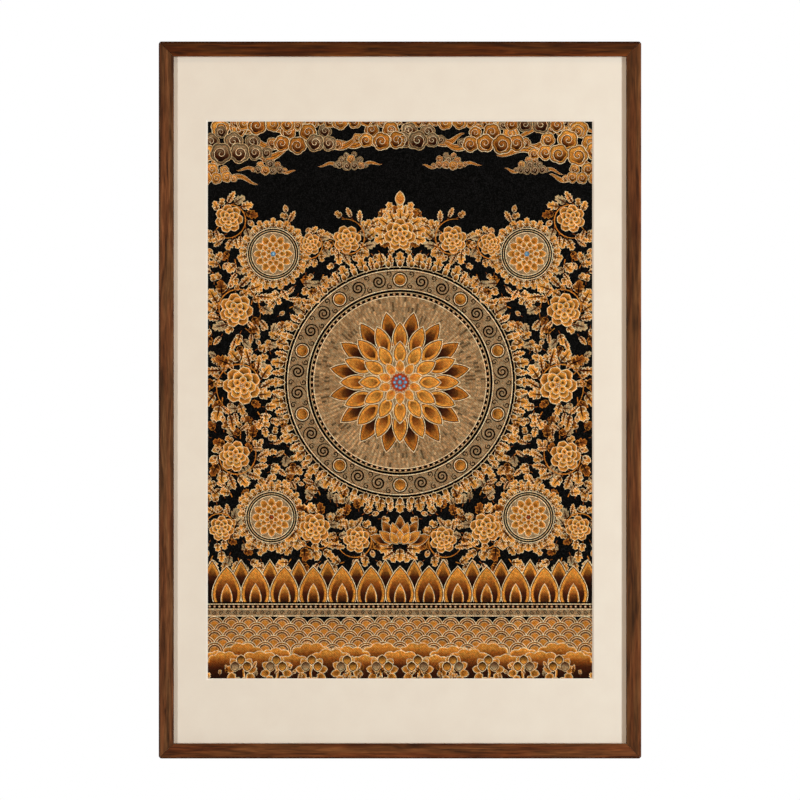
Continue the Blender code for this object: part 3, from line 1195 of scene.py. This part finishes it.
bud = {
    "root": (0, -184),
    "leaves": [(96, "broad", 1.2), (124, "narrow", 1.1), (70, "deep", 1.1),
               (150, "short", 1.1)],  # angle, kind, size
    "petals": [(lotusBack, (0, 34, 68), 12, 0.62, 4.2), (lotusMid, (17, 51), 9, 0.62, 4.8),
               (lotusFront, (0, 32), 5, 0.6, 5.4)],  # petal, angles, radius, size, layer
}


def drawBud():
    # an opening lotus under the medallion
    root = bud["root"]
    put(woven["leafThreads"], leaves["broad"], (0, root[1] - 1), 180, 1.15, 4.0)
    for degrees, kind, size in bud["leaves"]:
        pair(woven["leafThreads"], leaves[kind], around(root, 9, degrees), degrees, size, 3.4)
    for petal, turns, radius, size, layer in bud["petals"]:
        for turn in turns:
            bothSides(woven["goldThreads"], petal, around(root, radius, turn), turn, size, layer)


cloudPlaces = [(14, 322, 1.0), (66, 346, 0.85), (118, 318, 1.05), (168, 342, 1.0), (212, 306, 1.15),
               (236, 338, 1.2), (62, 292, 0.5), (164, 286, 0.5), (236, 276, 0.75)]  # u, v, size


def cloudMotif():
    parts = []
    put(parts, rng.choice(tails), (34, 0), rng.uniform(-8, 14))
    put(parts, rng.choice(tails), (-34, 0), rng.uniform(-14, 8), flip=True)
    usual = rng.choice(puffs)
    for k, (u, v, size) in enumerate(cloudPuffs):
        puff = usual if rng.random() < 0.65 else rng.choice(puffs)
        spot = (u + rng.uniform(-1.5, 1.5), v + rng.uniform(-1.5, 1.5))
        put(parts, puff, spot, rng.uniform(-35, 35), size * rng.uniform(0.92, 1.08), 1 + 0.2 * k,
            rng.uniform(0.85, 1.1), u < 0)
    return gather(parts)


def drawClouds():
    for k, (u, v, size) in enumerate(cloudPlaces):
        for side in (1, -1):
            layer = 1 + 0.6 * (k % 5)
            put(woven["cloudThreads"], cloudMotif(), (side * u, v), 0, size, layer, flip=side < 0)


border = {
    "base": -254,
    "petalPitch": 36,
    "petalRoot": -268,
    "halfLength": 252,
    "strips": [(-6, 17, "black", 7.0), (-10.7, 8.4, "taupe", 7.5), (-0.2, 1.1, "pale", 8.0),
               (-6.4, 1.1, "pale", 8.0), (-15, 1.1, "pale", 8.0)],  # v from the base, width, thread, layer
    "beads": (42, 6, -3.3),  # how many on each side, their pitch, and v from the base
    "scrolls": (30, 8.4, -10.7),
}


def drawLotusBorder():
    base, pitch, root = border["base"], border["petalPitch"], border["petalRoot"]
    gold, lines = woven["rockThreads"], woven["lineThreads"]
    rims = [(0.95, "pale"), (1.0, "umber"), (3.0, "ochre", "gold")]
    front = petalShape(62, pitch * 1.04, rims,
                       climb((14, "black"), (28, "umber"), (40, "brown"), (54, "ochre")), 0.82, 9, 0.8,
                       (18, 23, 28, 33, 38, 43))
    back = petalShape(70, pitch * 0.8, rims, climb((38, "black"), (48, "umber"), (64, "gold")),
                      0.85, 9, 0.9, (42, 48, 54))
    heart = petalShape(36, 15, [(0.75, "pale"), (1.3, "ochre", "gold")],
                       climb((14, "black"), (24, "brown"), (31, "ochre")), 0.8, 6, 0.85, (17, 22))
    full = stack((front,), (heart, (0, 4), 0, 1.0, 0.6))
    for k in range(7):
        pair(gold, back, (pitch * (k + 0.5), root), 0, 1.0, 5.2, rng.uniform(0.85, 1.0))
        if k:
            pair(gold, full, (pitch * k, root), 0, 1.0, 5.8, rng.uniform(0.9, 1.08))
    put(gold, full, (0, root), 0, 1.0, 5.8)
    ends = [(-border["halfLength"], 0), (border["halfLength"], 0)]
    for v, width, tone, layer in border["strips"]:
        put(gold, ribbon(ends, width, tone), (0, base + v), layer=layer)
    count, pitch, v = border["beads"]
    for k in range(count):
        pair(lines, pearl, (pitch / 2 + pitch * k, base + v), 0, 0.95, 8.2)
    small = ribbon(spiralPath(3.4, 0.7, 1.3, 10), 1.1, "black")
    count, pitch, v = border["scrolls"]
    for k in range(count):
        pair(lines, small, (pitch / 2 + pitch * k, base + v), 90 * k, 0.9, 8.2, flip=k % 2 == 1)


waves = {"top": -281, "rows": 5, "rowStep": 8, "perSide": 12, "pitch": 21, "radius": 11.5, "swell": 1.5}


def drawWaves():
    scale = outlineShape(discOutline(waves["radius"], 18),
                         [(0.8, "pale"), (1.9, "black", "gold"), (0.7, "pale"), (1.9, "black", "brown"),
                          (0.7, "sand")], "gold")
    for row in range(waves["rows"]):
        for k in range(waves["perSide"]):
            u = waves["pitch"] * (k + row % 2 / 2)
            v = waves["top"] - waves["rowStep"] * row + waves["swell"] * math.cos(u / 30)
            bothSides(woven["rockThreads"], scale, (u, v), 0, 1.0, 1.6 + row * 0.5, rng.uniform(0.85, 1.05))


rocks = {
    "kinds": [(58, 28, 6), (44, 22, 5), (64, 24, 7)],  # width, height, lumps
    "rows": [
        (-332, 0, ((22, 0), (66, 2), (110, 0), (154, 1), (196, 0), (228, 1))),
        (-339, 2, ((0, 2), (44, 1), (86, 0), (132, 1), (175, 2), (218, 0))),
    ],  # v, how far a rock strays from it, and each rock's u and kind; the back row first
    "lastSize": 0.84,  # of the rocks at the sides
    "jewelPlaces": [22, 66, 110, 154, 198],
    "jewelTop": -331,
    "rosetteMiddle": -338,
    "tufts": 30,  # small leaves along the bottom
}


def rockMotif(width, height, lumps):
    tone = climb((-8, "black"), (height * 0.3, "umber"), (height * 0.6, "brown"), (height, "ochre"))
    return outlineShape(rockOutline(width, height, lumps), [(0.85, "pale"), (2.2, "ochre", "gold")], tone,
                        [height * share for share in (0, 0.2, 0.4, 0.6, 0.8)])


def drawRocks():
    gold = woven["goldThreads"]
    kinds = [rockMotif(*kind) for kind in rocks["kinds"]]
    for row, (v, stray, places) in enumerate(rocks["rows"]):
        for k, (u, kind) in enumerate(places):
            size = rocks["lastSize"] if k == len(places) - 1 else 1.0
            at = (u, v + (rng.uniform(-stray, stray) if stray else 0))
            bothSides(woven["rockThreads"], kinds[kind], at, 0, size, 4.6 + row * 1.2 + k % 2 * 0.4,
                      rng.uniform(0.85, 1.08))
    jewel = petalShape(15, 13, [(0.8, "pale"), (0.9, "umber")], climb((2, "ochre"), (12, "black")),
                       0.62, 5, 1.05, (6, 10))
    jewelPale = petalShape(15, 13, [(0.8, "sand"), (0.9, "umber")], climb((2, "sand"), (12, "umber")),
                           0.62, 5, 1.05)
    for k, u in enumerate(rocks["jewelPlaces"]):
        for du, dv, motif, layer in ((-7.5, -8, jewel, 7.8), (7.5, -8, jewelPale, 7.8), (0, 0, jewel, 7.4)):
            pair(gold, motif, (u + du, rocks["jewelTop"] + dv), 0, 0.95, layer)
        for side in (-1, 1):
            ring(gold, rosePetal, 7.5, 9, 20 * k, 1.1, 6.7, 0.85, (side * u, rocks["rosetteMiddle"]))
    for _ in range(rocks["tufts"]):
        spot = (rng.uniform(4, 246), rng.uniform(-349, -334))
        drawLeaf(spot, rng.uniform(-60, 60), rng.uniform(0.45, 0.7), 6.6 + rng.random() * 0.4)


drawMedallion()
drawRoundels()
drawFoliage()
drawCrest()
drawBud()
drawClouds()
drawLotusBorder()
drawWaves()
drawRocks()
thread = threadMaterial()
wovenPieces = [weavePiece(name, parts, thread) for name, parts in woven.items()]
print("brocade design ready")
